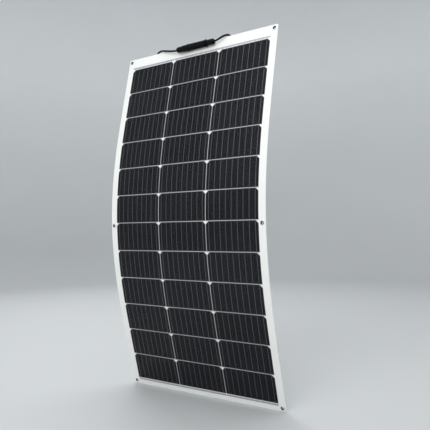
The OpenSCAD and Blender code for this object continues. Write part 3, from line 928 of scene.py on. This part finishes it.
def tube(name, path, radii, directions, sides=20):
    """A round tube through the path's points, closed at both ends."""
    bm = bmesh.new()
    normal = Vector((0.0, 0.0, 1.0))
    rings = []
    for at, radius, along in zip(path, radii, directions):
        normal = (normal - normal.project(along)).normalized()
        across = along.cross(normal)
        angles = [2 * math.pi * k / sides for k in range(sides)]
        rings.append([bm.verts.new(at + radius * (math.cos(a) * normal + math.sin(a) * across))
                      for a in angles])
    for near, far in zip(rings, rings[1:]):
        skin(bm, near, far)
    bm.faces.new(rings[0])
    bm.faces.new(list(reversed(rings[-1])))
    return tidy_mesh(bm, name)


def tangents(path):
    """The direction of a path at each of its points."""
    last = len(path) - 1
    return [(path[min(i + 1, last)] - path[max(i - 1, 0)]).normalized() for i in range(last + 1)]


def lead_piece(name, path, radii, along, part, material):
    """One run of a lead, over a slice of its path."""
    mesh = tube(name, path[part], radii[part], along[part])
    return new_object(name, mesh, material)


def make_leads(material):
    """The left lead's front run is left unparented in place; the rest keeps its shape, riding on rows_1_2."""
    spans = smooth_route(LEFT_REAR + LEFT_FRONT)
    path = [p for span in spans for p in span]
    radii, along = lead_radii(path, LEFT_GLAND_GRIP), tangents(path)
    seam = sum(len(span) for span in spans[:len(LEFT_REAR) - 1])
    rear = lead_piece("left_lead_rear", path, radii, along, slice(0, seam + 1), material)
    front = lead_piece("left_lead_front", path, radii, along, slice(seam, None), material)
    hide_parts("left_lead")
    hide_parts("left_lead")
    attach(rear, "rows_1_2")
    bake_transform(front)
    path = [p for span in smooth_route(RIGHT) for p in span]
    radii, along = lead_radii(path, RIGHT_GLAND_GRIP), tangents(path)
    right = lead_piece("right_lead_run", path, radii, along, slice(None), material)
    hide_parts("right_lead")
    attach(right, "rows_1_2")


# ---- Junction box --------------------------------------------------------------------------

BOX_W = 112 * MM
BOX_H = 58 * MM
BOX_CORNER_R = 5 * MM
BOX_DEPTH = 14 * MM
# Profiles round the box, as (outwards, up) pairs in millimetres
LID_FRAME_PROFILE = [(-4.6, -0.3), (-2.6, -0.3), (-2.7, 0.3), (-3.0, 0.5), (-4.2, 0.5),
                     (-4.5, 0.3)]
BEAD_PROFILE = [(-1.0, -0.1), (2.3, -0.1), (2.1, 0.35), (1.5, 0.8), (0.8, 1.3), (0.1, 2.0),
                (-1.0, 2.0)]


def box_ring(profile, depth, half_w, half_h, corner_r, waver=0.0):
    """A closed ring round the junction box, laid on the sheet."""
    middle_s = TOP_S - BOX_DROP * MM
    corners = []
    for sx, sy, start in ((1, 1, 0), (-1, 1, 90), (-1, -1, 180), (1, -1, 270)):
        for k in range(9):
            a = math.radians(start + 90 * k / 8)
            corners.append((sx * (half_w - corner_r), middle_s + sy * (half_h - corner_r),
                            math.cos(a), math.sin(a)))
    stations = []
    for here, following in zip(corners, corners[1:] + corners[:1]):
        reach = math.hypot(following[0] - here[0], following[1] - here[1])
        steps = max(1, round(reach / (4 * MM)))
        stations += [[p + (q - p) * i / steps for p, q in zip(here, following)]
                     for i in range(steps)]
    bm = bmesh.new()
    rings = []
    for x, s, nx, ns in stations:
        swell = 1 + waver * (math.sin(310 * x + 170 * s) + 0.6 * math.sin(530 * x - 410 * s))
        ring = []
        for out, up in profile:
            r = corner_r + (out * swell if out > 0 else out) * MM
            ring.append(bm.verts.new((x + r * nx, s + r * ns, depth + up * MM)))
        rings.append(ring)
    for near, far in zip(rings, rings[1:] + rings[:1]):
        skin(bm, near, far)
    lay_on_sheet(bm)
    return bm


def make_sealant(material):
    """The bead of sealant squeezed out all round the junction box where it sits on the sheet."""
    bm = box_ring(BEAD_PROFILE, BACK, BOX_W / 2, BOX_H / 2, BOX_CORNER_R, 0.13)
    obj = new_object("box_sealant", tidy_mesh(bm, "sealant"), material)
    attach(obj, "rows_1_2")


def make_lid_frame(material):
    """The raised frame moulded round the top of the lid."""
    bm = box_ring(LID_FRAME_PROFILE, BACK + BOX_DEPTH, BOX_W / 2, BOX_H / 2, BOX_CORNER_R)
    obj = new_object("lid_frame", tidy_mesh(bm, "lid_frame"), material)
    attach(obj, "box_lid")


# ---- CAD nodes that keep their own shape ---------------------------------------------------

def paint(material, *nodes):
    """Gives CAD nodes a material and smooth shading apart from their real edges."""
    for name in nodes:
        obj = frame["nodes"][name]
        obj.data.materials.clear()
        obj.data.materials.append(material)
        obj.data.shade_smooth()
        obj.data.set_sharp_from_angle(angle=SHARP_ANGLE)


# ---- Studio --------------------------------------------------------------------------------

FLOOR_GAP = 0.5 * MM
FLOOR_R = 3.2
BEND_R = 1.4
WALL_H = 4.6


def make_studio():
    """A pale round floor that curves up into a pale wall all the way round the sheet."""
    floor_z = CAD_BOX[0].z - FLOOR_GAP
    floor = [(radius, floor_z) for radius in (0.4, 1.2)]
    bend = arc(FLOOR_R, floor_z + BEND_R, BEND_R, -90, 0, 25)
    profile = floor + bend + [(FLOOR_R + BEND_R, floor_z + WALL_H)]
    bm = bmesh.new()
    rings = turned_rings(bm, profile, 96)
    bm.faces.new(list(reversed(rings[0])))
    mesh = bpy.data.meshes.new("studio")
    bm.to_mesh(mesh)
    bm.free()
    mesh.shade_smooth()
    # The darker floor colour is painted shade against the light on the floor.
    coat = studio_material((0.50, 0.515, 0.52), (0.80, 0.82, 0.83))
    new_object("studio", mesh, coat)


def area_light(name, offset, size, power):
    """A square light set off from the sheet's middle and facing it, unseen by the camera."""
    data = bpy.data.lights.new(name, "AREA")
    data.shape, data.size, data.energy = "SQUARE", size, power
    obj = bpy.data.objects.new(name, data)
    bpy.context.scene.collection.objects.link(obj)
    obj.location = MIDDLE + Vector(offset)
    obj.rotation_euler = (-Vector(offset)).to_track_quat("-Z", "Y").to_euler()
    obj.visible_camera = False


# The camera that fits the photograph's grid of cells best
CAMERA_YAW = 0.5842
CAMERA_PITCH = 0.0179
CAMERA_ROLL = -0.0203
CAMERA_LENS = 43.46
CAMERA_OFFSET = Vector((0.89885, -1.18443, -0.00967))


def make_camera():
    """The viewing angle: from the sheet's right, level, about 1.5 m from its middle."""
    data = bpy.data.cameras.new("camera")
    data.lens, data.sensor_width = CAMERA_LENS, 36
    data.clip_start, data.clip_end = 0.01, 100
    obj = bpy.data.objects.new("camera", data)
    bpy.context.scene.collection.objects.link(obj)
    turn = Matrix.Rotation(CAMERA_YAW, 4, "Z") @ Matrix.Rotation(math.pi / 2 + CAMERA_PITCH, 4, "X")
    obj.matrix_world = (Matrix.Translation(MIDDLE + CAMERA_OFFSET) @ turn
                        @ Matrix.Rotation(CAMERA_ROLL, 4, "Z"))
    bpy.context.scene.camera = obj


def make_light():
    """Soft light: a key and a fill in front, a rim light behind and a wide one overhead."""
    world = bpy.data.worlds.new("world")
    bpy.context.scene.world = world
    world.use_nodes = True
    background = world.node_tree.nodes["Background"]
    background.inputs["Color"].default_value = (0.92, 0.96, 1.0, 1)
    background.inputs["Strength"].default_value = 0.42
    area_light("key", (0.3, -2.5, 2.1), 2.2, 41)
    area_light("fill", (0.6, -2.3, 0.95), 1.3, 21)
    area_light("rim", (-2.0, 1.3, 1.9), 1.4, 34)
    area_light("overhead", (0, 0.6, 3.6), 4.0, 80)
    bpy.context.scene.view_settings.view_transform = "Standard"


# ---- Assembly ------------------------------------------------------------------------------

def make_sheet():
    film = film_material()
    white, woven = laminate_material(), back_material()
    silicon = silicon_material()
    tinned = ribbon_material("busbar_ribbon", (0.2, 0.2, 0.21), 0.45)
    for strip in make_strips():
        make_film(strip, film)
        make_backsheet(strip, white, woven)
        make_cells(strip, silicon)
        make_ribbons(strip, tinned)
    bus = ribbon_material("bus_ribbon", (0.52, 0.52, 0.56), 0.4)
    make_bus("top", TOP_CELLS_S + BUS_OFFSET, -1, SEGMENTS[0], bus)
    make_bus("bottom", BOTTOM_CELLS_S - BUS_OFFSET - BUS_W, 1, SEGMENTS[-1], bus)
    # The dark material is the painted shade inside the eyelets.
    bright, dark = nickel_material(), throat_material()
    for place, body in (("top", "rows_1_2"), ("middle", "row_7"), ("bottom", "rows_11_12")):
        make_eyelets(place, body, bright, dark)


def make_fittings():
    make_leads(jacket_material())
    make_sealant(sealant_material())
    box_plastic = moulded_material("box_plastic", (0.0045, 0.0045, 0.005), (0.008, 0.008, 0.0085),
                                   0.5, 0.35 * MM)
    shell_plastic = moulded_material("connector_plastic", (0.0035, 0.0035, 0.004),
                                     (0.0065, 0.0065, 0.007), 0.45, 0.25 * MM)
    paint(box_plastic, "junction_box_base", "junction_box_lid")
    make_lid_frame(box_plastic)
    paint(shell_plastic, "socket_housing", "socket_nut", "plug_housing", "plug_nut")
    paint(silicone_material(), "socket_seal", "plug_seal", "plug_o_ring")
    paint(contact_material(), "socket_pin", "plug_contact", "junction_terminals")
    paint(diode_material(), "bypass_diodes")


make_sheet()
make_fittings()
make_studio()
make_light()
make_camera()
